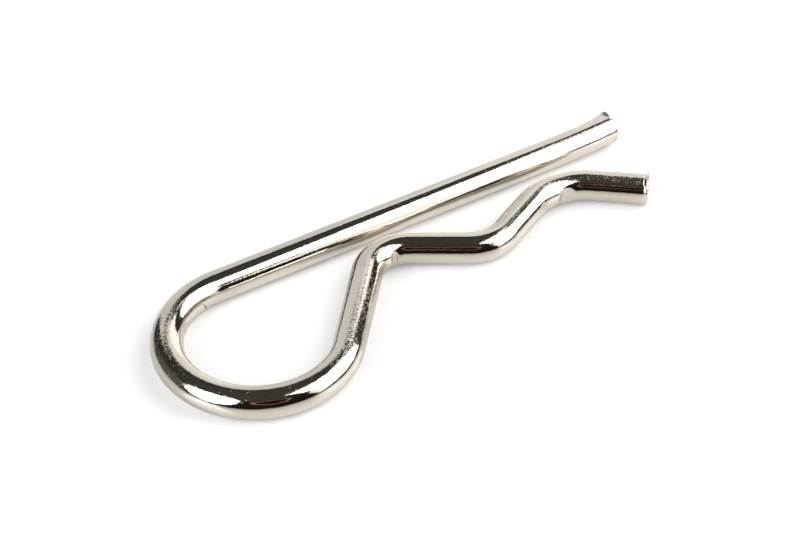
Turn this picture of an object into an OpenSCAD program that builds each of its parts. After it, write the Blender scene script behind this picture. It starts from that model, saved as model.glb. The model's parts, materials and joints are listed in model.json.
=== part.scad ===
// R-clip: a spring clip bent from one length of round wire.
// It lies flat on the XY plane. The straight leg points along +X, and the
// spring leg lies beside it, towards -Y, joined to it by an open loop.

/* [Wire] */
// Diameter of the wire
wire_d = 3; // [2.4:0.1:3.6]

/* [Straight leg] */
// Length from the loop to the cut end
leg_len = 44.6; // [42:0.2:54]

/* [Loop] */
// Radius to the middle of the wire
loop_r = 8.1; // [7:0.1:10]

/* [First hump] */
// Angle at which the spring leg climbs out of the loop
rise_angle = 49.5; // [45:0.5:54]
// Clear gap to the straight leg
first_gap = 1.25; // [0.6:0.05:1.8]
// Radius to the middle of the wire
first_bend_r = 4.1; // [3.4:0.1:5]

/* [Shaft seat] */
// Angle at which the spring leg drops into the seat
fall_angle = 32; // [28:0.5:36]
// Reach from the middle of the straight leg to the bottom of the seat
seat_reach = 6.8; // [6.3:0.1:7.6]
// Radius to the middle of the wire
seat_bend_r = 4.3; // [3.4:0.1:5]

/* [Second hump] */
// Angle at which the spring leg climbs out of the seat
climb_angle = 26.5; // [24:0.5:30]
// Clear gap to the straight leg
second_gap = 1.9; // [1.2:0.1:2.4]
// Radius to the middle of the wire
second_bend_r = 6.2; // [5:0.1:7]

/* [Flared end] */
// Angle at which the end leads away from the straight leg
flare_angle = 38.5; // [34:0.5:46]
// Length of its straight stretch
flare_len = 5.4; // [3:0.1:7]

/* [Bending marks] */
// Depth that the bending pin pressed into the inside of the first hump
first_mark_depth = 0.06; // [0.03:0.01:0.12]
// Radius of the pin at the first hump
first_mark_r = 0.8; // [0.5:0.1:1.2]
// Depth that the bending pin pressed into the inside of the second hump
second_mark_depth = 0.25; // [0.1:0.01:0.3]
// Radius of the pin at the second hump
second_mark_r = 1.6; // [1.2:0.1:2.4]

/* [Sheared ends] */
// How far the cropping blade drew out the lip on each end
lip_stand = 0.24; // [0.12:0.02:0.26]
// Length over which the straight leg's lip swells
lip_len = 3.2; // [2:0.1:5]
// Height of the torn burr on the flared end
burr_h = 0.4; // [0.2:0.05:0.6]

/* [Hidden] */
$fn = 64;
wire_r = wire_d / 2;

// The wire is drawn a hair thinner round a bend, and each run laps into its bends.
bend_thinning = 0.01;
lap = 0.05;

// Places along the wire, with the straight leg's axis on y = 0 and its cut end at x = 0.
// Each run is tangent to the bends that it joins, which gives its length.
function beside(angle) = [sin(angle), -cos(angle)];
function crest_y(gap, bend_r) = -(wire_d + gap + bend_r);
function run_len(step_y, both_r, angle) = (step_y + both_r * cos(angle)) / sin(angle);
function run_x(step_y, both_r, angle) =
    both_r * sin(angle) + run_len(step_y, both_r, angle) * cos(angle);

loop_c = [-leg_len, -loop_r];

rise_sum = loop_r + first_bend_r;
rise_step = crest_y(first_gap, first_bend_r) - loop_c.y;
rise_len = run_len(rise_step, rise_sum, rise_angle);
first_c = loop_c + [run_x(rise_step, rise_sum, rise_angle), rise_step];

fall_sum = first_bend_r + seat_bend_r;
fall_step = first_c.y - (seat_bend_r - seat_reach - wire_r);
fall_len = run_len(fall_step, fall_sum, fall_angle);
seat_c = first_c + [run_x(fall_step, fall_sum, fall_angle), -fall_step];

climb_sum = seat_bend_r + second_bend_r;
climb_step = crest_y(second_gap, second_bend_r) - seat_c.y;
climb_len = run_len(climb_step, climb_sum, climb_angle);
second_c = seat_c + [run_x(climb_step, climb_sum, climb_angle), climb_step];

flare_from = second_c - second_bend_r * beside(-flare_angle);

// A sheared end is a cone that leans out of the wire, towards the side of the burr.
lip_base_r = 0.9 * wire_r;
lip_swell = 0.05;
shear_depth = 0.2;
drawn_side = 55;
flare_lip_len = 0.6;
burr_root_r = 0.25;
burr_tip_r = 0.08;

// Where the marks lie, as angles round the bend from its middle towards the loop
first_mark_turn = 14;
second_mark_turn = 7;

// The origin is under the middle of the clip's outline.
left = loop_c.x - loop_r - wire_r;
front = loop_c.y - loop_r - wire_r;
back = wire_r + lip_swell + (lip_stand - lip_swell) * cos(drawn_side);
middle = [left / 2, (front + back) / 2];

// A straight run of wire, from a point along a heading
module run(from, heading, length) {
    translate([from.x, from.y, wire_r])
        rotate([0, 90, heading])
            translate([0, 0, -lap])
                cylinder(h = length + 2 * lap, r = wire_r);
}

// A bend about a centre, between two angles round it
module bend(centre, bend_r, from, to) {
    translate([centre.x, centre.y, wire_r])
        rotate([0, 0, from])
            rotate_extrude(angle = to - from)
                translate([bend_r, 0])
                    circle(wire_r - bend_thinning);
}

// The pin that a bend was pulled round, sunk into the inside of the bend
module bending_pin(centre, bend_r, angle, pin_r, depth) {
    translate([centre.x, centre.y, -wire_d])
        rotate([0, 0, angle])
            translate([bend_r - wire_r + depth - pin_r, 0, 0])
                cylinder(h = 3 * wire_d, r = pin_r);
}

// Turns what is drawn for a cut end to its place, with +Y towards the drawn-out side
module at_end(at, heading) {
    translate([at.x, at.y, wire_r])
        rotate([drawn_side, 0, heading])
            children();
}

// The lip that cropping drew out of a cut end
module sheared_lip(length) {
    drawn_out = lip_stand - lip_swell;
    translate([0, drawn_out, 0])
        rotate([0, -90, atan(drawn_out / length)])
            cylinder(h = length, r1 = wire_r + lip_swell, r2 = lip_base_r);
}

// A torn point of metal that stands out of the lip
module burr() {
    translate([-burr_root_r, wire_r - burr_root_r, 0])
        rotate([-90, 0, 0])
            cylinder(h = burr_h + burr_root_r, r1 = burr_root_r, r2 = burr_tip_r);
}

module straight_leg() {
    run([-leg_len, 0], 0, leg_len - shear_depth - lap);
    at_end([0, 0], 0)
        sheared_lip(lip_len);
}

module first_hump() {
    difference() {
        bend(first_c, first_bend_r, 90 - fall_angle, 90 + rise_angle);
        bending_pin(
            first_c,
            first_bend_r,
            90 + (rise_angle - fall_angle) / 2 + first_mark_turn,
            first_mark_r,
            first_mark_depth
        );
    }
}

module second_hump() {
    difference() {
        bend(second_c, second_bend_r, 90 - flare_angle, 90 + climb_angle);
        bending_pin(
            second_c,
            second_bend_r,
            90 + (climb_angle - flare_angle) / 2 + second_mark_turn,
            second_mark_r,
            second_mark_depth
        );
    }
}

module flared_end() {
    run(flare_from, -flare_angle, flare_len - shear_depth - lap);
    at_end(flare_from + flare_len * [cos(flare_angle), -sin(flare_angle)], -flare_angle) {
        sheared_lip(flare_lip_len);
        burr();
    }
}

module clip() {
    color([0.80, 0.76, 0.70])
    translate([-middle.x, -middle.y, 0]) {
        straight_leg();
        bend(loop_c, loop_r, 90, 270 + rise_angle);
        run(loop_c + loop_r * beside(rise_angle), rise_angle, rise_len);
        first_hump();
        run(first_c - first_bend_r * beside(-fall_angle), -fall_angle, fall_len);
        bend(seat_c, seat_bend_r, 270 - fall_angle, 270 + climb_angle);
        run(seat_c + seat_bend_r * beside(climb_angle), climb_angle, climb_len);
        second_hump();
        flared_end();
    }
}

clip();
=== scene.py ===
"""Finished model of an r-clip, bent from one nickel-plated wire, in a small studio."""

import json
import logging
import math
from dataclasses import dataclass, field
from enum import Enum
from typing import Optional, Union

import bpy
import numpy as np
from mathutils import Matrix, Quaternion, Vector


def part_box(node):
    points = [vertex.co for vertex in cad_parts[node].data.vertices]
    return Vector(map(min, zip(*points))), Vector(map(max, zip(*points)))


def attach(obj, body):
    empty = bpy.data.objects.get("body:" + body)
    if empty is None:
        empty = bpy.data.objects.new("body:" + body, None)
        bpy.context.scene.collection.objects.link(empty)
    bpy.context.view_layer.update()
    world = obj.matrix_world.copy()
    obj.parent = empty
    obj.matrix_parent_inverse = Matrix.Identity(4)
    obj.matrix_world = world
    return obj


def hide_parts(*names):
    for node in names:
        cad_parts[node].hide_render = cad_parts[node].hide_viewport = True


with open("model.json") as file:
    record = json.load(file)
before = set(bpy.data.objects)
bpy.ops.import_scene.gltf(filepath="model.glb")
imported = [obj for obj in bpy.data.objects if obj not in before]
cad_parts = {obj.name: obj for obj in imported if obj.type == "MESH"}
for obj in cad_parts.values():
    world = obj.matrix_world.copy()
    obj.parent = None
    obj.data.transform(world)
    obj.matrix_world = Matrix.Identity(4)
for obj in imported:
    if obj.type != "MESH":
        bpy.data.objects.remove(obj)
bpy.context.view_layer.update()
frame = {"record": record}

MM = 0.001

Pair = tuple[float, float]
Triple = tuple[float, float, float]
Colour = tuple[float, float, float, float]
Array = np.ndarray
Piece = bpy.types.Object

log = logging.getLogger("r_clip")


# ---- The path of the wire ----


class StretchKind(Enum):
    """The two kinds of stretch that a wire form is made of."""

    RUN = "straight run"
    BEND = "bend"


@dataclass(frozen=True)
class Stretch:
    """One straight run or one bend of the wire, seen from above.

    Angles are in radians. A bend with a positive turn goes to the left. before is the
    length of the wire up to the start of the stretch.
    """

    name: str
    kind: StretchKind
    start: Pair
    heading: float
    length: float
    before: float
    radius: float = 0.0
    turn: float = 0.0

    @property
    def side(self) -> float:
        """1 for a bend to the left and -1 for a bend to the right."""
        return math.copysign(1.0, self.turn)

    @property
    def way(self) -> Array:
        """Direction of the wire at the start of the stretch."""
        return np.array([math.cos(self.heading), math.sin(self.heading)])

    @property
    def centre(self) -> Array:
        """The point that the bend turns round."""
        left = np.array([-math.sin(self.heading), math.cos(self.heading)])
        return np.array(self.start) + self.side * self.radius * left

    def at(self, along: Array) -> tuple[Array, Array]:
        """Places and headings on the wire's axis.

        Args:
            along: Distances from the start of the stretch.

        Returns:
            The points, one row each, and the heading at each.
        """
        if self.kind is StretchKind.RUN:
            points = np.array(self.start) + along[:, None] * self.way
            return points, np.full(len(along), self.heading)
        heading = self.heading + along / self.radius * self.side
        return self.centre + self.side * self.radius * -leftwards(heading), heading

    def nearest(self, points: Array) -> Array:
        """Distance along the stretch of the axis point that is nearest to each point.

        Args:
            points: Points seen from above, one row each.

        Returns:
            Distances from the start, not cut off at the ends of the stretch.
        """
        if self.kind is StretchKind.RUN:
            return (points - np.array(self.start)) @ self.way
        out = points - self.centre
        first = self.heading - self.side * math.pi / 2
        angle = self.side * (np.arctan2(out[:, 1], out[:, 0]) - first)
        slack = (2 * math.pi - abs(self.turn)) / 2
        angle = (angle + slack) % (2 * math.pi) - slack
        return angle * self.radius


@dataclass
class WirePath:
    """The bent axis of the wire, from the straight leg's tip to the flared end."""

    wire_r: float
    leg_y: float
    loop_x: float
    leg_len: float = 44.6 * MM
    loop_r: float = 8.1 * MM
    rise_angle: float = math.radians(49.5)
    first_gap: float = 1.25 * MM
    first_bend_r: float = 4.1 * MM
    fall_angle: float = math.radians(32)
    seat_reach: float = 6.8 * MM
    seat_bend_r: float = 4.3 * MM
    climb_angle: float = math.radians(26.5)
    second_gap: float = 1.9 * MM
    second_bend_r: float = 6.2 * MM
    flare_angle: float = math.radians(38.5)
    flare_len: float = 5.4 * MM
    stretches: list[Stretch] = field(default_factory=list)

    def __post_init__(self) -> None:
        """Lays the runs and bends end to end, each tangent to the next."""
        first_y = -(2 * self.wire_r + self.first_gap + self.first_bend_r)
        seat_y = self.seat_bend_r - self.seat_reach - self.wire_r
        second_y = -(2 * self.wire_r + self.second_gap + self.second_bend_r)
        rise_r = self.loop_r + self.first_bend_r
        fall_r = self.first_bend_r + self.seat_bend_r
        climb_r = self.seat_bend_r + self.second_bend_r
        self.point = (self.loop_x + self.leg_len, self.leg_y)
        self.heading = math.pi
        self.length = 0.0
        self.run("straight_leg", self.leg_len)
        self.bend("loop", self.loop_r, math.pi + self.rise_angle)
        self.run("rise", tangent(first_y + self.loop_r, rise_r, self.rise_angle))
        self.bend("first_hump", self.first_bend_r, -(self.rise_angle + self.fall_angle))
        self.run("fall", tangent(first_y - seat_y, fall_r, self.fall_angle))
        self.bend("seat", self.seat_bend_r, self.fall_angle + self.climb_angle)
        self.run("climb", tangent(second_y - seat_y, climb_r, self.climb_angle))
        self.bend("second_hump", self.second_bend_r, -(self.climb_angle + self.flare_angle))
        self.run("flare", self.flare_len)

    def run(self, name: str, length: float) -> None:
        """Adds a straight run of a length to the end of the path."""
        self.add(Stretch(name, StretchKind.RUN, self.point, self.heading, length, self.length))

    def bend(self, name: str, radius: float, turn: float) -> None:
        """Adds a bend of a radius and a turn to the end of the path."""
        start = (self.point, self.heading, radius * abs(turn), self.length)
        self.add(Stretch(name, StretchKind.BEND, *start, radius, turn))

    def add(self, stretch: Stretch) -> None:
        """Adds a stretch and moves the end of the path past it.

        Args:
            stretch: The stretch, which starts at the end of the path.
        """
        points, headings = stretch.at(np.array([stretch.length]))
        self.stretches.append(stretch)
        self.point = (float(points[0][0]), float(points[0][1]))
        self.heading = float(headings[0])
        self.length += stretch.length

    def at(self, along: Array) -> tuple[Array, Array]:
        """Places and headings on the wire's axis.

        Args:
            along: Distances from the straight leg's tip. Past an end the run goes on.

        Returns:
            The points, one row each, and the heading at each.
        """
        points = np.zeros((len(along), 2))
        headings = np.zeros(len(along))
        later = [stretch.before for stretch in self.stretches[1:]]
        which = np.searchsorted(later, along, side="right")
        for index, stretch in enumerate(self.stretches):
            here = which == index
            points[here], headings[here] = stretch.at(along[here] - stretch.before)
        return points, headings

    def locate(self, points: Array) -> Array:
        """Finds the axis point that is nearest to each point.

        Args:
            points: Points, one row each. Their heights aren't used.

        Returns:
            Distances of the axis points from the straight leg's tip.
        """
        best = np.full(len(points), np.inf)
        along = np.zeros(len(points))
        for stretch in self.stretches:
            near = np.clip(stretch.nearest(points[:, :2]), 0.0, stretch.length)
            gap = np.linalg.norm(points[:, :2] - stretch.at(near)[0], axis=1)
            closer = gap < best
            best[closer] = gap[closer]
            along[closer] = stretch.before + near[closer]
        return along

    def named(self, name: str) -> Stretch:
        """The stretch of a name."""
        return next(s for s in self.stretches if s.name == name)


def tangent(step: float, both_r: float, angle: float) -> float:
    """Length of a run that is tangent to the bends at its two ends.

    Args:
        step: How far the second bend's centre lies to the left of the first's.
        both_r: Sum of the two bends' radii.
        angle: Angle of the run to the straight leg.

    Returns:
        The length of the run.
    """
    return (step + both_r * math.cos(angle)) / math.sin(angle)


def leftwards(heading: Array) -> Array:
    """Directions to the left of each heading, one row each."""
    return np.stack([-np.sin(heading), np.cos(heading)], axis=1)


# ---- Shader nodes ----

Number = Union[float, "Value"]


class Value:
    """A number on a shader socket. Sums on it add Math nodes."""

    def __init__(self, nodes: "Nodes", socket: Optional[bpy.types.NodeSocket]) -> None:
        """Wraps a socket of a node tree."""
        self.nodes = nodes
        self.socket = socket

    def math(self, operation: str, *others: Number) -> "Value":
        """Adds a Math node with this value first."""
        inputs = dict(enumerate((self, *others)))
        return self.nodes.add("ShaderNodeMath", {"operation": operation}, inputs)

    def __add__(self, other: Number) -> "Value":
        """This value plus another."""
        return self.math("ADD", other)

    def __sub__(self, other: Number) -> "Value":
        """This value less another."""
        return self.math("SUBTRACT", other)

    def __rsub__(self, other: float) -> "Value":
        """A number less this value."""
        return self.nodes.add("ShaderNodeMath", {"operation": "SUBTRACT"}, {0: other, 1: self})

    def __mul__(self, other: Number) -> "Value":
        """This value times another."""
        return self.math("MULTIPLY", other)

    __radd__ = __add__
    __rmul__ = __mul__

    def ramp(self, low: float, high: float) -> "Value":
        """Runs smoothly from 0 where this value is low to 1 where it is high."""
        settings = {"interpolation_type": "SMOOTHSTEP"}
        return self.nodes.add("ShaderNodeMapRange", settings, {"Value": self, 1: low, 2: high})


class Nodes:
    """The nodes of one material or world."""

    def __init__(self, owner: Union[bpy.types.Material, bpy.types.World]) -> None:
        """Clears the owner's node tree.

        Args:
            owner: The material or world.
        """
        owner.use_nodes = True
        self.tree = owner.node_tree
        self.tree.nodes.clear()

    def add(
        self,
        kind: str,
        settings: Optional[dict] = None,
        inputs: Optional[dict] = None,
        output: Union[int, str] = 0,
    ) -> Value:
        """Adds a node.

        Args:
            kind: The node's type.
            settings: Its settings, by name, which are set first.
            inputs: Values or links of its sockets, by name or number.
            output: The name or number of the output to return.

        Returns:
            That output.
        """
        node = self.tree.nodes.new(kind)
        for name, setting in (settings or {}).items():
            setattr(node, name, setting)
        for name, given in (inputs or {}).items():
            if isinstance(given, Value):
                self.tree.links.new(given.socket, node.inputs[name])
            else:
                node.inputs[name].default_value = given
        return Value(self, node.outputs[output]) if node.outputs else Value(self, None)

    def attribute(self, name: str, output: str) -> Value:
        """Reads a mesh's attribute as a number or a vector."""
        return self.add("ShaderNodeAttribute", {"attribute_name": name}, output=output)

    def mix_colour(self, share: Number, first: Number, second: Number) -> Value:
        """Mixes two colours, or a colour and a link."""
        settings = {"data_type": "RGBA"}
        return self.add("ShaderNodeMix", settings, {0: share, 6: first, 7: second}, output=2)

    def stretched(self, vector: Value, scale: Triple) -> Value:
        """Scales a pattern's coordinates along each axis."""
        return self.add("ShaderNodeVectorMath", {"operation": "MULTIPLY"}, {0: vector, 1: scale})

    def noise(self, vector: Value, scale: float, detail: float = 2.0) -> Value:
        """Adds a noise of a scale, in cells to the metre."""
        inputs = {"Vector": vector, "Scale": scale, "Detail": detail}
        return self.add("ShaderNodeTexNoise", {"noise_dimensions": "3D"}, inputs)

    def seen(self) -> Value:
        """Tells the rays that a pale background is for.

        Returns:
            1 on rays from the camera, a mirror or glass, and 0 on rays that light things.
        """
        camera = self.add("ShaderNodeLightPath", output="Is Camera Ray")
        path = camera.socket.node.outputs
        glossy = camera.math("MAXIMUM", Value(self, path["Is Glossy Ray"]))
        return glossy.math("MAXIMUM", Value(self, path["Is Transmission Ray"]))

    def surface(self, shader: Value) -> None:
        """Connects a shader to the material's surface."""
        self.add("ShaderNodeOutputMaterial", None, {"Surface": shader})


# ---- Finishes ----


@dataclass(frozen=True)
class BrightNickel:
    """Nickel plate on drawn wire, with fine grain, drawing lines, wrinkles and pits.

    Heights are in millimetres, as the bump's distance is one millimetre, and scales are
    in cells to the metre. Edges are where a pattern starts to show and where it is full.
    A name that ends in scuffed says how much more there is where the wire is scuffed,
    and one that ends in rough how much is added to the roughness.
    """

    name: str = "bright_nickel"
    colour: Colour = (0.745, 0.69, 0.61, 1.0)
    stained: Colour = (0.58, 0.52, 0.42, 1.0)
    polish: float = 0.05
    scuff_rough: float = 0.11
    patch_scale: float = 420.0
    patch_edges: Pair = (0.35, 0.7)
    grain_size: float = 0.22 * MM
    grain_height: float = 0.014
    grain_least: float = 0.15
    grain_patched: float = 0.3
    grain_scuffed: float = 1.2
    line_spacing: float = 0.22 * MM
    line_stretch: Triple = (0.03, 1.0, 1.0)
    line_height: float = 0.0050
    line_rough: float = 0.03
    wrinkle_size: float = 0.60 * MM
    wrinkle_height: float = 0.0040
    wrinkle_scuffed: float = 14.0
    pit_spacing: float = 0.22 * MM
    pit_depth: float = 0.012
    pit_edges: Pair = (0.05, 0.24)
    pit_group: float = 0.55
    pit_group_edges: Pair = (0.61, 0.72)
    pit_scuffed: float = 0.3
    pit_stain: float = 0.5
    pit_rough: float = 0.2
    cloud_scale: float = 260.0
    cloud_edges: Pair = (0.4, 0.9)
    cloud_stain: float = 0.35
    haze_size: float = 0.20 * MM
    haze_edges: Pair = (0.48, 0.74)
    haze_least: float = 0.10
    haze_scuffed: float = 0.9
    haze_rough: float = 0.42
    # Painted shade in the die mark's groove, and a darker tone at the sheared ends: the wire is
    # darkened towards this near black there.
    shade_and_dark_end_colour: Colour = (0.05, 0.045, 0.035, 1.0)
    shade_and_dark_end_edges: Pair = (0.1, 0.8)
    shade_and_dark_end_cover: float = 0.85
    shade_and_dark_end_rough: float = 0.25

    def material(self) -> bpy.types.Material:
        """Makes the finish.

        Returns:
            A material that reads the wire as it was before it was bent, so that the
            drawing lines follow it round the bends.
        """
        made = bpy.data.materials.new(self.name)
        nodes = Nodes(made)
        wire = nodes.attribute("straightened", "Vector")
        scuff = nodes.attribute("scuff", "Fac")
        groove_shade_and_dark_ends = nodes.attribute("groove_shade_and_dark_ends", "Fac")

        patches = nodes.noise(wire, self.patch_scale).ramp(*self.patch_edges)
        worn = patches * self.grain_patched + scuff * self.grain_scuffed + self.grain_least
        grain = nodes.noise(wire, 1 / self.grain_size, detail=1.0) * worn
        drawn = nodes.stretched(wire, self.line_stretch)
        lines = nodes.noise(drawn, 1 / self.line_spacing, detail=0.5)
        wrinkles = nodes.noise(wire, 1 / self.wrinkle_size, detail=1.0)
        wrinkles = wrinkles * (scuff * scuff * self.wrinkle_scuffed + 1)
        cells = nodes.add(
            "ShaderNodeTexVoronoi",
            {"feature": "F1"},
            {"Vector": wire, "Scale": 1 / self.pit_spacing, "Randomness": 1.0},
            output="Distance",
        )
        group = nodes.noise(wire, self.pit_group / self.pit_spacing, detail=1.0)
        pitted = (group + scuff * self.pit_scuffed).ramp(*self.pit_group_edges)
        pits = (1 - cells.ramp(*self.pit_edges)) * pitted
        clouds = nodes.noise(wire, self.cloud_scale, detail=3.0).ramp(*self.cloud_edges)
        haze = nodes.noise(wire, 1 / self.haze_size, detail=1.0).ramp(*self.haze_edges)
        haze = haze * (scuff * self.haze_scuffed + self.haze_least) * self.haze_rough

        height = grain * self.grain_height + lines * self.line_height
        height = height + wrinkles * self.wrinkle_height - pits * self.pit_depth
        bump = {"Strength": 1.0, "Distance": MM, "Height": height}

        stain = clouds * self.cloud_stain + pits * self.pit_stain
        tone = nodes.mix_colour(stain, self.colour, self.stained)
        # Painted shade: the die mark's groove is darkened towards a near black, and the sheared
        # ends are darkened too.
        darkening = groove_shade_and_dark_ends.ramp(*self.shade_and_dark_end_edges) * self.shade_and_dark_end_cover
        tone = nodes.mix_colour(darkening, tone, self.shade_and_dark_end_colour)
        rough = lines * self.line_rough + haze + pits * self.pit_rough + groove_shade_and_dark_ends * self.shade_and_dark_end_rough
        rough = rough + scuff * self.scuff_rough + self.polish
        inputs = {
            "Base Color": tone,
            "Metallic": 1.0,
            "Roughness": rough,
            "Normal": nodes.add("ShaderNodeBump", None, bump),
        }
        nodes.surface(nodes.add("ShaderNodeBsdfPrincipled", None, inputs))
        return made


@dataclass(frozen=True)
class WhiteTable:
    """Satin white table that keeps the shadow of what lies on it."""

    name: str = "white_table"
    colour: Colour = (0.9, 0.9, 0.915, 1.0)
    glow: Colour = (1.0, 1.0, 1.0, 1.0)
    lift: float = 0.03
    eye_lift: float = 0.24
    roughness: float = 0.2

    def material(self) -> bpy.types.Material:
        """Makes the finish.

        Returns:
            A material that is lifted a little to a clean white where it is seen.
        """
        made = bpy.data.materials.new(self.name)
        nodes = Nodes(made)
        eye = nodes.add("ShaderNodeLightPath", output="Is Camera Ray")
        inputs = {
            "Base Color": self.colour,
            "Roughness": self.roughness,
            "Emission Color": self.glow,
            "Emission Strength": nodes.seen() * self.lift + eye * self.eye_lift,
        }
        nodes.surface(nodes.add("ShaderNodeBsdfPrincipled", None, inputs))
        return made


@dataclass(frozen=True)
class GlowCard:
    """Card that glows evenly by itself, as painted light, and may glow less or more in a mirror
    than to the eye.
    """

    name: str
    reflected: Colour
    seen: Colour = (1.0, 1.0, 1.0, 1.0)

    def material(self) -> bpy.types.Material:
        """Makes the finish.

        Returns:
            A material that lights up by itself.
        """
        made = bpy.data.materials.new(self.name)
        nodes = Nodes(made)
        camera = nodes.add("ShaderNodeLightPath", output="Is Camera Ray")
        colour = nodes.mix_colour(camera, self.reflected, self.seen)
        nodes.surface(nodes.add("ShaderNodeEmission", None, {"Color": colour}))
        return made


@dataclass(frozen=True)
class DarkRoom:
    """Dark cloth that keeps the room out of bright metal. It glows by itself, no lamp lights
    it, and the light on it is painted.

    left and near are directions. The cloth glows lighter to the left and overhead, which is
    painted light, and darker and brown near them, and edges are the shares of the full way
    at which a tone starts and where it is full.
    """

    radius: float
    left: Triple
    near: Triple
    name: str = "dark_room"
    dark: Colour = (0.028, 0.030, 0.027, 1.0)
    brown: Colour = (0.015, 0.010, 0.009, 1.0)
    # Painted light: the glow overhead and to the left stands in for lamp light falling on the
    # cloth.
    overhead_glow: Colour = (0.050, 0.049, 0.044, 1.0)
    left_glow: Colour = (0.105, 0.103, 0.088, 1.0)
    brown_edges: Pair = (0.4, 0.9)
    overhead_glow_edges: Pair = (0.72, 0.9)
    left_glow_edges: Pair = (0.86, 0.99)

    def material(self) -> bpy.types.Material:
        """Makes the finish.

        Returns:
            A material that glows by itself, a little lighter overhead and to the left as
            painted light.
        """
        made = bpy.data.materials.new(self.name)
        nodes = Nodes(made)
        place = nodes.add("ShaderNodeTexCoord", output="Object")
        height = nodes.add("ShaderNodeSeparateXYZ", None, {0: place}, output="Z")
        near = self.facing(nodes, place, self.near).ramp(*self.brown_edges)
        overhead = (height * (1 / self.radius)).ramp(*self.overhead_glow_edges)
        left = self.facing(nodes, place, self.left).ramp(*self.left_glow_edges)
        colour = nodes.mix_colour(near, self.dark, self.brown)
        # Painted light: the cloth glows lighter overhead and to the left.
        colour = nodes.mix_colour(overhead, colour, self.overhead_glow)
        colour = nodes.mix_colour(left, colour, self.left_glow)
        nodes.surface(nodes.add("ShaderNodeEmission", None, {"Color": colour}))
        return made

    def facing(self, nodes: Nodes, place: Value, way: Triple) -> Value:
        """How nearly a place lies in a direction, from -1 to 1."""
        inputs = {0: place, 1: tuple(part / self.radius for part in way)}
        return nodes.add("ShaderNodeVectorMath", {"operation": "DOT_PRODUCT"}, inputs, "Value")


# ---- The clip ----


@dataclass(frozen=True)
class PinMark:
    """A mark that the bending pin pressed into the inside of a hump.

    The pin's axis is upright. turn is its angle round the bend from the middle,
    towards the loop, and depth is how far it is sunk into the wire. The mark fades out
    over the angle soft on its side away from the loop, where the wire left the pin.
    """

    hump: str
    turn: float
    radius: float
    depth: float
    soft: float


@dataclass(frozen=True)
class Patch:
    """A patch of the wire's surface, strongest at its middle.

    along is a distance from the straight leg's tip, and side is an angle round the wire
    from its left, upwards, both at the middle. reach and spread are half the patch's
    size each way. Angles are in degrees.
    """

    along: float
    reach: float
    side: float
    spread: float
    amount: float
    fall: float = 0.7

    def at(self, along: Array, round_: Array) -> Array:
        """How strong the patch is at each place."""
        strength = self.amount * fade(np.abs(along - self.along), self.reach) ** self.fall
        return strength * lobe(round_, math.radians(self.side), math.radians(self.spread))


@dataclass(frozen=True)
class Groove:
    """A groove that a bending tool cut across the wire, darkened with painted shade.

    along and side are at its middle, as a patch's are. spread is half its length round
    the wire, width is half its width, and lean is how far along its end lies from its
    middle.
    """

    along: float
    side: float
    spread: float
    width: float
    lean: float
    depth: float
    fall: float = 0.7
    end_fall: float = 0.5

    def at(self, along: Array, round_: Array) -> Array:
        """How much of the groove's full depth there is at each place.

        Args:
            along: Distances along the wire.
            round_: Angles round it, from its left upwards.

        Returns:
            Shares of the depth.
        """
        share = wrapped(round_ - math.radians(self.side)) / math.radians(self.spread)
        middle = self.along + self.lean * share
        across = fade(np.abs(along - middle), self.width) ** self.fall
        return across * fade(np.abs(share), 1.0) ** self.end_fall


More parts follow.
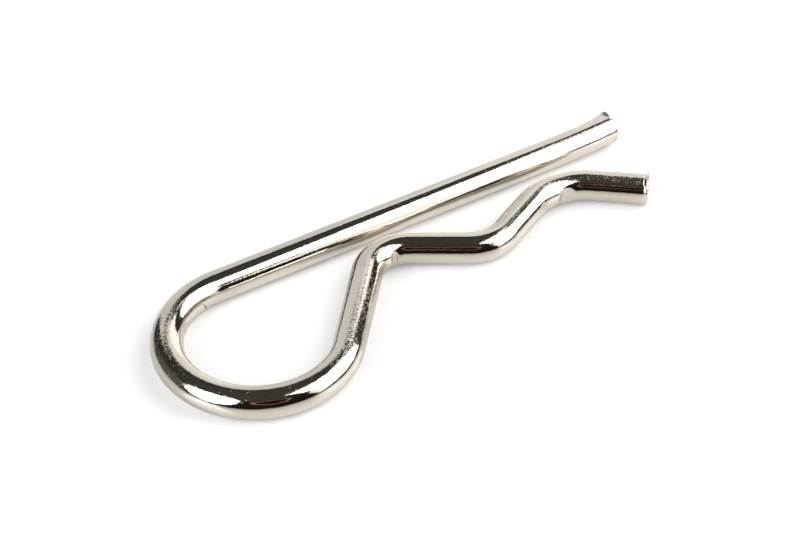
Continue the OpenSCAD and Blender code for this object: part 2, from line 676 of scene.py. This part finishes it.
@dataclass
class ClipBody:
    """The bent wire, with its bending marks and sheared ends.

    steps are the distances between rings. A fine zone has a start and an end on the
    wire and a step of its own. A cap ring has the share by which it is scaled and the
    distance by which it is sunk.
    """

    path: WirePath
    finish: BrightNickel = BrightNickel()
    sides: int = 96
    seed: int = 11
    steps: dict[str, float] = field(
        default_factory=lambda: {
            "straight_leg": 0.32 * MM,
            "loop": 0.24 * MM,
            "rise": 0.17 * MM,
            "first_hump": 0.08 * MM,
            "fall": 0.18 * MM,
            "seat": 0.16 * MM,
            "climb": 0.18 * MM,
            "second_hump": 0.08 * MM,
            "flare": 0.22 * MM,
        }
    )
    step_slack: float = 1e-6
    fine_zones: tuple[Triple, ...] = (
        (0.0, 0.5 * MM, 0.04 * MM),
        (0.5 * MM, 2.8 * MM, 0.12 * MM),
        (46.2 * MM, 47.8 * MM, 0.06 * MM),
        (119.3 * MM, math.inf, 0.04 * MM),
    )
    pin_marks: tuple[PinMark, ...] = (
        PinMark("first_hump", math.radians(-8), 0.5 * MM, 0.35 * MM, math.radians(100)),
        PinMark("second_hump", math.radians(-4), 1.3 * MM, 0.32 * MM, math.radians(60)),
    )
    scuffed: tuple[Patch, ...] = (
        Patch(77.5 * MM, 4.5 * MM, 98, 40, 1.0),
        Patch(82.5 * MM, 7.0 * MM, 128, 45, 0.55),
        Patch(54.5 * MM, 8.5 * MM, 105, 65, 0.60),
        Patch(65.0 * MM, 9.0 * MM, 95, 60, 0.25),
        Patch(88.5 * MM, 3.0 * MM, 125, 45, 0.45),
        Patch(111.0 * MM, 4.0 * MM, 95, 60, 0.40),
        Patch(117.0 * MM, 5.5 * MM, 106, 40, 0.80),
        Patch(104.0 * MM, 6.0 * MM, 95, 60, 0.25),
    )
    # The die mark's groove, pressed into the wire and darkened with painted shade.
    die_mark: Groove = Groove(47.0 * MM, -12, 32, 0.14 * MM, 0.45 * MM, 0.04 * MM)
    # Patches where the sheared ends are darkened.
    darkening: tuple[Patch, ...] = (
        Patch(-0.05 * MM, 0.50 * MM, 112, 30, 1.0),
        Patch(120.3 * MM, 0.22 * MM, 60, 30, 0.8),
    )
    tip_lift: float = 0.20 * MM
    tip_side: float = math.radians(135)
    tip_len: float = 7.0 * MM
    tip_reach: float = 0.10 * MM
    tip_reach_len: float = 1.0 * MM
    flash_side: float = math.radians(148)
    flash_width: float = math.radians(48)
    flash_stand: float = 0.24 * MM
    flash_len: float = 3.4 * MM
    flash_fall: float = 1.3
    flash_reach: float = 1.6
    flash_reach_spread: float = 1.4
    curl_stand: float = 0.20 * MM
    curl_len: float = 0.55 * MM
    curl_lead: float = 0.25
    rim_round: float = 0.07 * MM
    neck_depth: float = 0.03 * MM
    neck_back: float = 0.1 * MM
    neck_width: float = 0.09 * MM
    collar_len: float = 0.34 * MM
    collar_stand: float = 0.10 * MM
    collar_rise: float = 3.0
    collar_waves: tuple[Triple, ...] = ((0.25, 3, 1.0), (0.15, 7, 0.0))
    lip_round: float = 0.26 * MM
    lip_ragged: float = 0.02 * MM
    spike_side: float = math.radians(50)
    spike_width: float = math.radians(8)
    spike_foot: float = 1.5
    spike_stand: float = 0.42 * MM
    spike_len: float = 0.16 * MM
    spike_lean: float = 0.12 * MM
    tooth: float = 0.05 * MM
    tooth_len: float = 0.06 * MM
    cap_rings: tuple[Pair, ...] = (
        (0.94, 0.02 * MM),
        (0.93, 0.09 * MM),
        (0.80, 0.02 * MM),
        (0.72, 0.0),
        (0.60, -0.02 * MM),
    )
    cap_flattened: float = 0.7
    sheared_share: float = 0.93
    smooth_angle: float = math.radians(40)

    def build(self) -> Piece:
        """Models and dresses the wire.

        Returns:
            The finished piece.
        """
        piece = self.sweep()
        self.shape(piece)
        self.cap(piece)
        self.dress(piece)
        return piece

    def sweep(self) -> Piece:
        """Draws a ring of the wire's section along the path, by extruding and spinning it.

        Returns:
            The wire, open at both ends.
        """
        path = self.path
        bpy.ops.object.select_all(action="DESELECT")
        bpy.ops.mesh.primitive_circle_add(
            vertices=self.sides,
            radius=path.wire_r,
            fill_type="NOTHING",
            location=(*path.stretches[0].start, path.wire_r),
            rotation=(0, math.pi / 2, 0),
        )
        piece = bpy.context.object
        piece.name = piece.data.name = "bent_wire"
        bpy.ops.object.transform_apply(location=True, rotation=True, scale=True)
        bpy.ops.object.mode_set(mode="EDIT")
        bpy.ops.mesh.select_all(action="SELECT")
        for stretch in path.stretches:
            for length, step in self.zones(stretch):
                self.draw(stretch, length, math.ceil(length / step - self.step_slack))
        face_outwards()
        return piece

    def zones(self, stretch: Stretch) -> list[Pair]:
        """Splits a stretch where the rings lie closer.

        Args:
            stretch: The stretch.

        Returns:
            The length of each part, in order, and the step between its rings.
        """
        first, last = stretch.before, stretch.before + stretch.length
        cuts = {first, last}
        for zone in self.fine_zones:
            cuts |= {edge for edge in zone[:2] if first < edge < last}
        parts = []
        edges = sorted(cuts)
        for low, high in zip(edges, edges[1:]):
            middle = (low + high) / 2
            fine = [step for start, end, step in self.fine_zones if start < middle < end]
            parts.append((high - low, fine[0] if fine else self.steps[stretch.name]))
        return parts

    @staticmethod
    def draw(stretch: Stretch, length: float, steps: int) -> None:
        """Draws the selected ring on along a stretch, in equal steps.

        Args:
            stretch: The stretch.
            length: How far along it the ring is drawn.
            steps: In how many steps.
        """
        if stretch.kind is StretchKind.BEND:
            turn = math.copysign(length / stretch.radius, stretch.turn)
            centre = (*stretch.centre, 0.0)
            bpy.ops.mesh.spin(steps=steps, angle=-turn, center=centre, axis=(0, 0, 1))
            return
        step = length / steps
        offset = (math.cos(stretch.heading) * step, math.sin(stretch.heading) * step, 0.0)
        bpy.ops.mesh.extrude_repeat(steps=steps, offset=offset)

    def shape(self, piece: Piece) -> None:
        """Presses the marks into the wire and shapes its sheared ends.

        Args:
            piece: The wire, open at both ends.
        """
        along, round_, out = self.places(piece)
        rng = np.random.default_rng(self.seed)
        out = out + self.leg_end(along, round_) + self.flared_end(along, round_, rng)
        out = out - self.die_mark.depth * self.die_mark.at(along, round_)
        lift = self.tip_lift * fade(along, self.tip_len) ** 2
        along = along + self.teeth(along, round_, rng)
        self.put(piece, along, round_, out, lift)
        self.press_pins(piece)

    def places(self, piece: Piece) -> tuple[Array, Array, Array]:
        """Where each vertex lies on the wire.

        Args:
            piece: The wire.

        Returns:
            Distance along the wire, angle round it from its left side upwards, and
            distance out from its axis.
        """
        points = read_points(piece)
        along = self.path.locate(points)
        axis, heading = self.path.at(along)
        across = ((points[:, :2] - axis) * leftwards(heading)).sum(axis=1)
        up = points[:, 2] - self.path.wire_r
        return along, np.arctan2(up, across), np.hypot(across, up)

    def put(
        self,
        piece: Piece,
        along: Array,
        round_: Array,
        out: Array,
        lift: Array,
    ) -> None:
        """Moves each vertex to a place on the wire, none of it under the table.

        Args:
            piece: The wire.
            along: Distances along the wire.
            round_: Angles round it, from its left upwards.
            out: Distances out from its axis.
            lift: How far the axis is bent to the cropping blade's side.
        """
        axis, heading = self.path.at(along)
        across = out * np.cos(round_) + lift * math.cos(self.tip_side)
        up = out * np.sin(round_) + lift * math.sin(self.tip_side)
        points = np.empty((len(along), 3))
        points[:, :2] = axis + leftwards(heading) * across[:, None]
        points[:, 2] = np.maximum(self.path.wire_r + up, 0.0)
        write_points(piece, points)

    def leg_end(self, along: Array, round_: Array) -> Array:
        """Shapes the straight leg's end: a flash on its far side, and a soft rim.

        Args:
            along: Distances along the wire.
            round_: Angles round it, from its left upwards.

        Returns:
            How far each place stands out.
        """
        flash = self.flash_stand * lobe(round_, self.flash_side, self.flash_width)
        flash = flash * fade(along, self.flash_len) ** self.flash_fall
        curl_side = self.flash_side - self.curl_lead
        curl = self.curl_stand * lobe(round_, curl_side, self.flash_width)
        flash = flash + curl * fade(along, self.curl_len)
        rim = self.rim_round * (1 + lobe(round_, self.flash_side, self.flash_width))
        return flash - rim * rounding(fade(along, 2 * rim.max()))

    def flared_end(
        self, along: Array, round_: Array, rng: np.random.Generator
    ) -> Array:
        """Shapes the flared end: a neck, a swollen lip and a torn spike.

        Args:
            along: Distances along the wire.
            round_: Angles round it, from its left upwards.
            rng: Source of the lip's raggedness.

        Returns:
            How far each place stands out.
        """
        back = self.path.length - along
        off_neck = np.abs(back - self.collar_len - self.neck_back)
        neck = -self.neck_depth * fade(off_neck, self.neck_width)
        swell = np.ones_like(round_)
        for height, waves, lead in self.collar_waves:
            swell = swell + height * np.sin(waves * round_ + lead)
        near = fade(back, self.collar_len)
        collar = self.collar_stand * swell * np.minimum(self.collar_rise * near, 1.0)
        collar = collar - self.lip_round * rounding(near)
        spike = self.spike_stand * lobe(round_, self.spike_side, self.spike_width)
        ragged = rng.uniform(-1.0, 1.0, self.sides) * self.lip_ragged
        return neck + collar + (spike + ragged[self.side(round_)]) * fade(back, self.spike_len)

    def teeth(self, along: Array, round_: Array, rng: np.random.Generator) -> Array:
        """Tears the collar's edge and draws the straight leg's tip out.

        Args:
            along: Distances along the wire.
            round_: Angles round it, from its left upwards.
            rng: Source of the teeth.

        Returns:
            How far each place is moved along the wire.
        """
        back = self.path.length - along
        cut = rng.uniform(-1.0, 1.0, self.sides) * self.tooth
        foot = self.spike_width * self.spike_foot
        lean = -self.spike_lean * lobe(round_, self.spike_side, foot)
        flash = lobe(round_, self.flash_side, self.flash_reach_spread * self.flash_width)
        tip = -self.tip_reach * (1 + self.flash_reach * flash)
        torn = (cut[self.side(round_)] + lean) * fade(back, self.tooth_len)
        return torn + tip * fade(along, self.tip_reach_len)

    def side(self, round_: Array) -> Array:
        """Number of the side of the wire's section that each angle lies on."""
        return np.round(round_ / (2 * math.pi / self.sides)).astype(int) % self.sides

    def press_pins(self, piece: Piece) -> None:
        """Presses the wire in where the bending pins bore on the inside of the humps.

        Args:
            piece: The wire.
        """
        points = read_points(piece)
        for mark in self.pin_marks:
            hump = self.path.named(mark.hump)
            middle = hump.heading + hump.turn / 2 + math.pi / 2 + mark.turn
            reach = hump.radius - self.path.wire_r + mark.depth - mark.radius
            pin = hump.centre + reach * np.array([math.cos(middle), math.sin(middle)])
            away = points[:, :2] - pin
            gap = np.linalg.norm(away, axis=1)
            lead = wrapped(np.arctan2(away[:, 1], away[:, 0]) - middle)
            push = np.maximum(mark.radius - gap, 0.0) * ease(lead, -mark.soft, 0.0)
            points[:, :2] += away / gap[:, None] * push[:, None]
        write_points(piece, points)

    def cap(self, piece: Piece) -> None:
        """Closes both sheared ends, each a little hollow inside its rim.

        Args:
            piece: The wire, open at both ends.
        """
        first, last = self.path.stretches[0], self.path.stretches[-1]
        for end, outwards in (first.start, -first.way), (self.path.point, last.way):
            self.pick_rim(piece, np.array(end))
            bpy.ops.object.mode_set(mode="EDIT")
            for share, sink in self.cap_rings:
                bpy.ops.mesh.extrude_region()
                centre = (*end, self.path.wire_r)
                bpy.ops.transform.resize(value=(share, share, share), center_override=centre)
                self.flatten_selected(piece, outwards)
                bpy.ops.transform.translate(value=(*(-outwards * sink), 0.0))
            bpy.ops.mesh.edge_face_add()
            bpy.ops.mesh.poke()
            face_outwards()

    def flatten_selected(self, piece: Piece, heading: Array) -> None:
        """Moves the selected ring most of the way to one plane, square to a heading.

        Args:
            piece: The wire, in edit mode.
            heading: The heading.
        """
        bpy.ops.object.mode_set(mode="OBJECT")
        points = read_points(piece)
        picked = np.zeros(len(points), dtype=bool)
        piece.data.vertices.foreach_get("select", picked)
        reach = points[picked, :2] @ heading
        points[picked, :2] -= self.cap_flattened * np.outer(reach - reach.mean(), heading)
        write_points(piece, points)
        bpy.ops.object.mode_set(mode="EDIT")

    def pick_rim(self, piece: Piece, end: Array) -> None:
        """Selects the open edge of the wire at one end.

        Args:
            piece: The wire.
            end: The end of its axis, seen from above.
        """
        pick_only(piece)
        bpy.ops.object.mode_set(mode="EDIT")
        bpy.ops.mesh.select_mode(type="VERT")
        bpy.ops.mesh.select_all(action="DESELECT")
        bpy.ops.mesh.select_non_manifold()
        bpy.ops.object.mode_set(mode="OBJECT")
        points = read_points(piece)
        near = np.linalg.norm(points[:, :2] - end, axis=1) < 2 * self.path.wire_r
        for vertex in piece.data.vertices:
            vertex.select = vertex.select and bool(near[vertex.index])
        for edge in piece.data.edges:
            edge.select = all(piece.data.vertices[corner].select for corner in edge.vertices)

    def dress(self, piece: Piece) -> None:
        """Gives the wire its smooth shading, its own coordinates and its finish.

        Args:
            piece: The wire, closed at both ends.
        """
        pick_only(piece)
        bpy.ops.object.shade_smooth_by_angle(angle=self.smooth_angle)
        along, round_, out = self.places(piece)
        straight = np.stack([along, out * np.cos(round_), out * np.sin(round_)], axis=1)
        attribute = piece.data.attributes.new("straightened", "FLOAT_VECTOR", "POINT")
        attribute.data.foreach_set("vector", straight.ravel().astype(np.float32))
        near_end = np.minimum(along, self.path.length - along) < self.collar_len
        sheared = near_end & (out < self.sheared_share * self.path.wire_r)
        patches = [patch.at(along, round_) for patch in self.scuffed]
        self.mark(piece, "scuff", [sheared.astype(float), *patches])
        # Painted shade along the die mark's groove, and darkening at the sheared ends, for the
        # finish to read.
        dark_ends = [patch.at(along, round_) for patch in self.darkening]
        self.mark(piece, "groove_shade_and_dark_ends", [self.die_mark.at(along, round_), *dark_ends])
        piece.data.materials.append(self.finish.material())

    @staticmethod
    def mark(piece: Piece, name: str, amounts: list[Array]) -> None:
        """Stores the strongest of some amounts at each vertex, for the finish to read."""
        kept = piece.data.attributes.new(name, "FLOAT", "POINT")
        kept.data.foreach_set("value", np.maximum.reduce(amounts).astype(np.float32))


def pick_only(piece: Piece) -> None:
    """Selects one object and nothing else.

    Args:
        piece: The object.
    """
    bpy.ops.object.select_all(action="DESELECT")
    piece.select_set(True)
    bpy.context.view_layer.objects.active = piece


def face_outwards() -> None:
    """Points the faces of the mesh in edit mode outwards, and leaves edit mode."""
    bpy.ops.mesh.select_all(action="SELECT")
    bpy.ops.mesh.normals_make_consistent(inside=False)
    bpy.ops.mesh.select_all(action="DESELECT")
    bpy.ops.object.mode_set(mode="OBJECT")


def read_points(piece: Piece) -> Array:
    """Reads the places of a piece's vertices.

    Args:
        piece: The piece, in object mode.

    Returns:
        The places, one row each.
    """
    flat = np.empty(len(piece.data.vertices) * 3)
    piece.data.vertices.foreach_get("co", flat)
    return flat.reshape(-1, 3)


def write_points(piece: Piece, points: Array) -> None:
    """Sets the places of a piece's vertices."""
    piece.data.vertices.foreach_set("co", points.ravel())
    piece.data.update()


def wrapped(angle: Array) -> Array:
    """Angles brought within half a turn of 0."""
    return (angle + math.pi) % (2 * math.pi) - math.pi


def lobe(angle: Array, centre: float, width: float) -> Array:
    """A smooth bump round an angle, 1 at its centre and 0 at its width from it."""
    off = np.abs(wrapped(angle - centre))
    return np.where(off < width, 0.5 + 0.5 * np.cos(np.pi * np.minimum(off / width, 1.0)), 0.0)


def ease(value: Array, low: float, high: float) -> Array:
    """Runs smoothly from 0 where a value is low to 1 where it is high."""
    share = np.clip((value - low) / (high - low), 0.0, 1.0)
    return share * share * (3 - 2 * share)


def fade(distance: Array, reach: float) -> Array:
    """Falls evenly from 1 at no distance to 0 at a reach."""
    return np.clip(1 - distance / reach, 0.0, 1.0)


def rounding(near: Array) -> Array:
    """How far a rounded edge falls away, as a share of its radius, up to 1 at the edge."""
    return 1 - np.sqrt(np.maximum(1 - near**2, 0.0))


# ---- The studio ----


@dataclass(frozen=True)
class Softbox:
    """A softbox, placed by the way that it faces the clip.

    azimuth is clockwise from the way that the camera looks, and with elevation and roll
    it is in degrees. The sides are measured on the front, in parts of its distance, from
    the point that is square to the clip.
    """

    name: str
    shape: str
    azimuth: float
    elevation: float
    roll: float
    left: float
    right: float
    bottom: float
    top: float
    colour: Triple
    distance: float = 0.6
    radiance: float = 3.0


@dataclass(frozen=True)
class Ring:
    """A dim ring that stands round the camera and glows by itself, though it is no lamp, so that
    the metal shows a thin reddish outline as a painted reflection.

    The angles are in degrees, from the clip, and thickness is one of them.
    """

    azimuth: float = 170.0
    elevation: float = 38.5
    half_width: float = 19.0
    half_height: float = 11.0
    thickness: float = 1.0
    distance: float = 0.24
    segments: tuple[int, int] = (96, 12)
    # Painted reflection: the ring glows reddish so that the metal mirrors it as an outline.
    finish: GlowCard = GlowCard("glowing_red_ring", (0.38, 0.22, 0.185, 1.0))


@dataclass(frozen=True)
class Strip:
    """A slim strip that glows by itself beside a softbox, placed as a softbox is, but by its
    middle.

    half_width and half_height are in parts of its distance.
    """

    azimuth: float
    elevation: float
    roll: float
    half_width: float
    half_height: float
    finish: GlowCard
    distance: float = 0.58


@dataclass(frozen=True)
class Card:
    """A card that stands on the table, placed by where it is seen from the clip.

    left and right are azimuths clockwise from the way that the camera looks, and top is
    an elevation, all in degrees.
    """

    left: float
    right: float
    top: float
    distance: float
    finish: GlowCard


@dataclass
class Studio:
    """White table, softboxes, strips, cards, ring and dark cloth, and the camera.

    facing is the way that the camera looks, clockwise from the frame's y axis, and
    cloth_left and cloth_near are azimuths and elevations. All are in degrees.
    """

    facing: float = 31.95
    look_down: float = 41.0
    distance: float = 180.0 * MM
    lens: float = 87.75
    sensor: float = 36.0
    clip_start: float = 0.01
    target: Triple = (-1.77 * MM, 1.43 * MM, 1.5 * MM)
    table_size: float = 3.0
    table_drop: float = 0.02 * MM
    cloth_radius: float = 1.3
    cloth_drop: float = 1.0 * MM
    cloth_segments: int = 64
    cloth_left: Pair = (-82, 10)
    cloth_near: Pair = (165, 25)
    world_light: float = 0.05
    softboxes: tuple[Softbox, ...] = (
        Softbox(
            "left_softbox", "ELLIPSE", -130, 33, 0, -0.43, 0.43, -0.51, 0.51, (0.98, 0.99, 1.0)
        ),
        Softbox(
            "right_softbox", "RECTANGLE", 106, 25, -8, -1.03, 0.19, -0.29, 0.98, (1.0, 0.985, 0.96)
        ),
    )
    ring: Ring = Ring()
    strips: tuple[Strip, ...] = (
        Strip(37, 54.7, 36, 0.16, 0.04, GlowCard("overhead_strip", (1.3, 1.28, 1.24, 1.0))),
        Strip(121, 20, -9, 0.07, 0.27, GlowCard("side_strip", (1.3, 1.28, 1.24, 1.0))),
    )
    # Painted light: the cards glow by themselves, dim in a mirror on the left and brighter than
    # white on the right, in place of uneven light on a backdrop. To the eye they are white.
    cards: tuple[Card, ...] = (
        Card(-38, 3, 42.2, 0.50, GlowCard("dim_glow_card", (0.74, 0.75, 0.77, 1.0))),
        Card(-4, 15, 45.5, 0.49, GlowCard("pale_card", (0.93, 0.93, 0.92, 1.0))),
        Card(13, 37, 42.4, 0.50, GlowCard("bright_card", (1.4, 1.4, 1.36, 1.0))),
    )

    def build(self) -> None:
        """Sets up the stage, the lamps and the camera."""
        self.lay_table()
        for card in self.cards:
            self.stand(card)
        self.hang_cloth()
        self.stand_ring()
        for strip in self.strips:
            self.hang_strip(strip)
        for softbox in self.softboxes:
            self.hang(softbox)
        self.light_world()
        self.set_camera()

    def towards(self, azimuth: float, elevation: float) -> Vector:
        """Direction from the clip of a place seen at an azimuth and elevation."""
        turn, rise = math.radians(self.facing + azimuth), math.radians(elevation)
        level = math.cos(rise)
        return Vector((math.sin(turn) * level, math.cos(turn) * level, math.sin(rise)))

    def lay_table(self) -> None:
        """Lays the table just under the clip."""
        bpy.ops.mesh.primitive_plane_add(size=self.table_size, location=(0, 0, -self.table_drop))
        self.stage("table", WhiteTable().material())

    def stand(self, card: Card) -> None:
        """Stands a card on the table, facing the clip.

        Args:
            card: The card.
        """
        middle = (card.left + card.right) / 2
        half = math.radians((card.right - card.left) / 2)
        height = card.distance * math.tan(math.radians(card.top))
        bpy.ops.mesh.primitive_plane_add(
            size=1,
            location=self.towards(middle, 0) * card.distance + Vector((0, 0, height / 2)),
            rotation=(math.pi / 2, 0, -math.radians(self.facing + middle)),
        )
        bpy.context.object.scale = (2 * card.distance * math.tan(half), height, 1)
        self.stage(card.finish.name, card.finish.material())

    def hang_cloth(self) -> None:
        """Hangs a dark cloth over the table, which only mirrors and lamps see."""
        bpy.ops.mesh.primitive_uv_sphere_add(
            segments=self.cloth_segments,
            ring_count=self.cloth_segments // 2,
            radius=self.cloth_radius,
        )
        edge = (0, 0, -self.cloth_drop)
        bpy.ops.object.mode_set(mode="EDIT")
        bpy.ops.mesh.select_all(action="SELECT")
        bpy.ops.mesh.bisect(plane_co=edge, plane_no=(0, 0, 1), clear_inner=True)
        bpy.ops.mesh.select_all(action="SELECT")
        bpy.ops.mesh.flip_normals()
        bpy.ops.object.mode_set(mode="OBJECT")
        left, near = self.towards(*self.cloth_left), self.towards(*self.cloth_near)
        room = DarkRoom(self.cloth_radius, tuple(left), tuple(near))
        self.stage(room.name, room.material()).visible_camera = False

    @staticmethod
    def stage(name: str, material: bpy.types.Material) -> Piece:
        """Args:
            name: Its name.
            material: Its finish.

        Returns:
            The piece.
        """
        piece = bpy.context.object
        piece.name = piece.data.name = name
        piece.data.materials.append(material)
        bpy.ops.object.select_all(action="DESELECT")
        return piece

    def stand_ring(self) -> None:
        """Stands the ring round the camera, where only mirrors see it."""
        ring = self.ring
        way = self.towards(ring.azimuth, ring.elevation)
        bpy.ops.mesh.primitive_torus_add(
            major_segments=ring.segments[0],
            minor_segments=ring.segments[1],
            major_radius=1.0,
            minor_radius=ring.thickness / ring.half_height,
            location=way * ring.distance,
            rotation=way.to_track_quat("Z", "Y").to_euler(),
        )
        width = ring.distance * math.tan(math.radians(ring.half_width))
        width *= math.cos(math.radians(ring.elevation))
        height = ring.distance * math.tan(math.radians(ring.half_height))
        bpy.context.object.scale = (width, height, height)
        self.stage(ring.finish.name, ring.finish.material()).visible_camera = False

    def facing_clip(self, placed: Union[Softbox, Strip]) -> tuple[Vector, Vector, Vector]:
        """Works out how a hung thing is turned.

        Args:
            placed: The softbox or strip.

        Returns:
            Directions: towards it from the clip, and its front's right and up.
        """
        way = self.towards(placed.azimuth, placed.elevation)
        across = way.cross(Vector((0, 0, 1))).normalized()
        across.rotate(Quaternion(way, math.radians(-placed.roll)))
        return way, across, across.cross(way)

    def hang_strip(self, strip: Strip) -> None:
        """Hangs a strip, which only mirrors see.

        Args:
            strip: The strip.
        """
        way, across, up = self.facing_clip(strip)
        bpy.ops.mesh.primitive_plane_add(
            size=2,
            location=way * strip.distance,
            rotation=Matrix((-across, up, way)).transposed().to_euler(),
        )
        width, height = strip.half_width * strip.distance, strip.half_height * strip.distance
        bpy.context.object.scale = (width, height, 1)
        self.stage(strip.finish.name, strip.finish.material()).visible_camera = False

    def hang(self, softbox: Softbox) -> None:
        """Hangs a softbox with its front where it is seen from the clip.

        Args:
            softbox: The softbox.
        """
        way, across, up = self.facing_clip(softbox)
        middle = across * (softbox.left + softbox.right) / 2
        middle += up * (softbox.bottom + softbox.top) / 2
        bpy.ops.object.light_add(type="AREA", location=(way + middle) * softbox.distance)
        lamp = bpy.context.object
        lamp.rotation_euler = Matrix((-across, up, way)).transposed().to_euler()
        lamp.name = lamp.data.name = softbox.name
        lamp.data.shape = softbox.shape
        lamp.data.size = (softbox.right - softbox.left) * softbox.distance
        lamp.data.size_y = (softbox.top - softbox.bottom) * softbox.distance
        lamp.data.color = softbox.colour
        lamp.data.energy = math.pi * lamp.data.size * lamp.data.size_y * softbox.radiance

    def light_world(self) -> None:
        """Makes the world white to the eye, and nearly dark as a lamp."""
        world = bpy.data.worlds.new("studio")
        bpy.context.scene.world = world
        nodes = Nodes(world)
        strength = nodes.seen() * (1 - self.world_light) + self.world_light
        inputs = {"Color": (1, 1, 1, 1), "Strength": strength}
        shader = nodes.add("ShaderNodeBackground", None, inputs)
        nodes.add("ShaderNodeOutputWorld", None, {"Surface": shader})

    def set_camera(self) -> None:
        """Points the camera down at the clip."""
        back = -self.towards(0, -self.look_down)
        bpy.ops.object.camera_add(location=Vector(self.target) + back * self.distance)
        camera = bpy.context.object
        camera.rotation_euler = back.to_track_quat("Z", "Y").to_euler()
        camera.data.sensor_fit = "HORIZONTAL"
        camera.data.sensor_width = self.sensor
        camera.data.lens = self.lens
        camera.data.clip_start = self.clip_start
        bpy.context.scene.camera = camera


# ---- Putting it together ----


def wire_path() -> WirePath:
    """Sets the wire's path on the frame's straight leg and outline.

    Returns:
        The path.
    """
    leg = next(m for m in frame["record"]["mounts"] if m["name"] == "straight_leg")
    wire_r = leg["dims"]["r_mm"] * MM
    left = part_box("clip")[0][0]
    return WirePath(wire_r=wire_r, leg_y=leg["pos_m"][1], loop_x=left + wire_r + WirePath.loop_r)


def main() -> None:
    """Builds the clip and its studio."""
    logging.basicConfig(level=logging.INFO, format="%(name)s: %(message)s")
    bpy.context.scene.view_settings.view_transform = "Standard"
    body = ClipBody(wire_path())
    piece = body.build()
    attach(piece, "root")
    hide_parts("clip")
    log.info("%s: %d faces", piece.name, len(piece.data.polygons))
    Studio().build()
    log.info("studio: lit")


if __name__ == "__main__":
    main()
